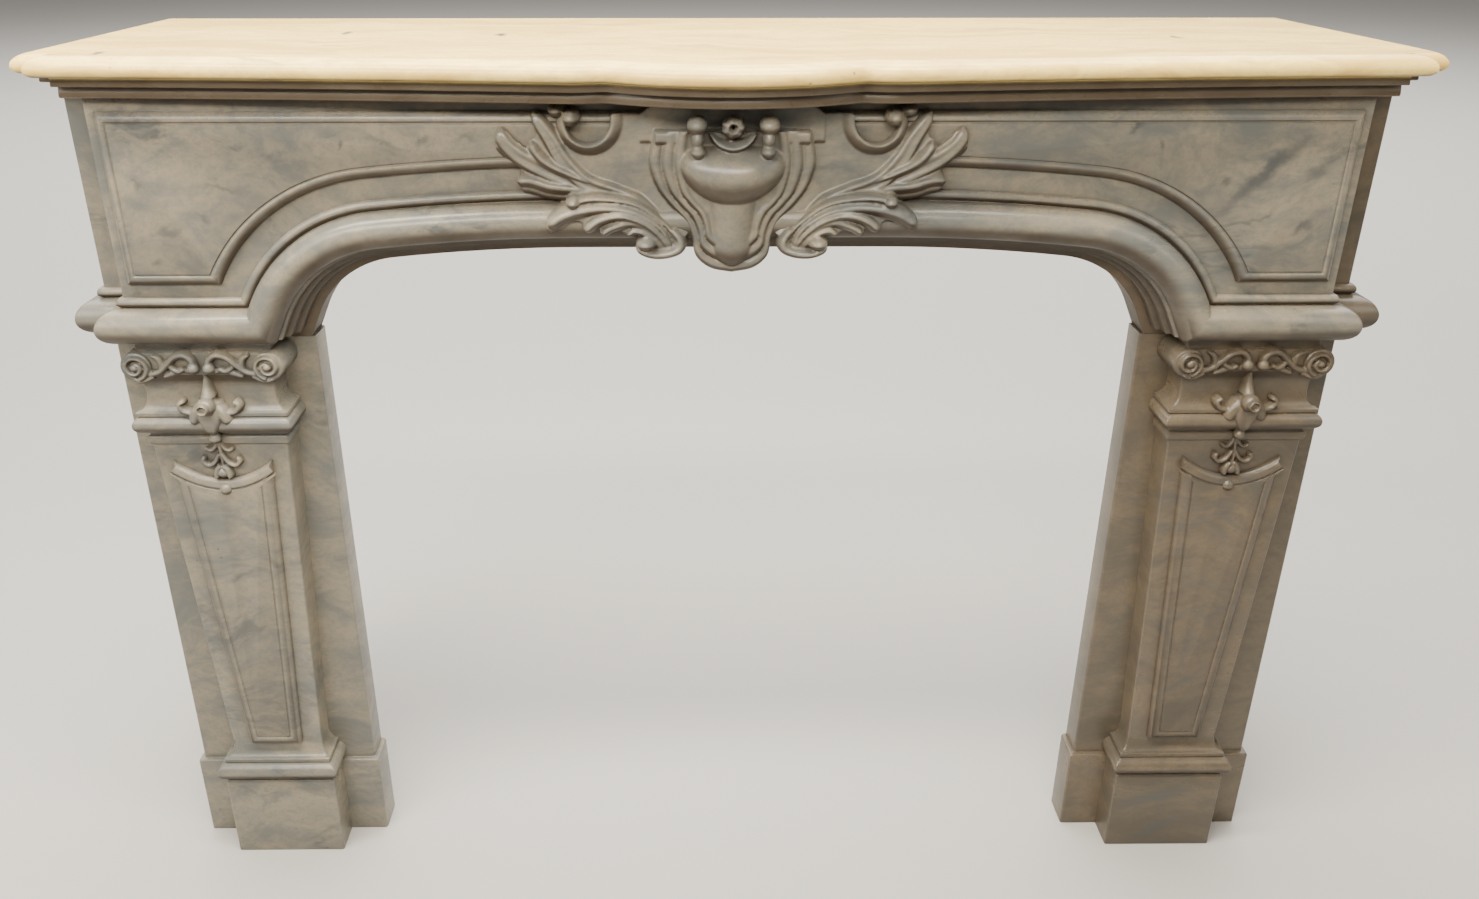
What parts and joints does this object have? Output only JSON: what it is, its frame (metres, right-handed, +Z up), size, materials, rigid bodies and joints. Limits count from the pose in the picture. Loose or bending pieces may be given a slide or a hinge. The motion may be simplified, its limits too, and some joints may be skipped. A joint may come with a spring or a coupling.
{
  "type": "marble fireplace surround",
  "caption": "Carved marble chimneypiece with a serpentine moulded shelf, an arched frieze with a leafy cartouche and tapered panelled pilasters, set against a chimney breast.",
  "frame": {"origin": "on the floor, under the middle of the whole piece's width and depth", "axes": "+Z up, +Y from the carved front towards the wall, +X to the right seen from the front"},
  "size_m": [1.53, 0.477, 1.1],
  "materials": {
    "shelf_marble": "polished",
    "carved_marble": "polished, with dirt in the hollows",
    "slab_marble": "worn polish"
  },
  "bodies": {
    "root": {"shelf": "shelf_marble", "frieze": "carved_marble", "back_lintel": "slab_marble", "pilaster_left": "carved_marble", "pilaster_right": "carved_marble", "jamb_slab_left": "slab_marble", "jamb_slab_right": "slab_marble", "jamb_return_left": "slab_marble", "jamb_return_right": "slab_marble", "frieze_return_left": "slab_marble", "frieze_return_right": "slab_marble"}
  },
  "joints": []
}
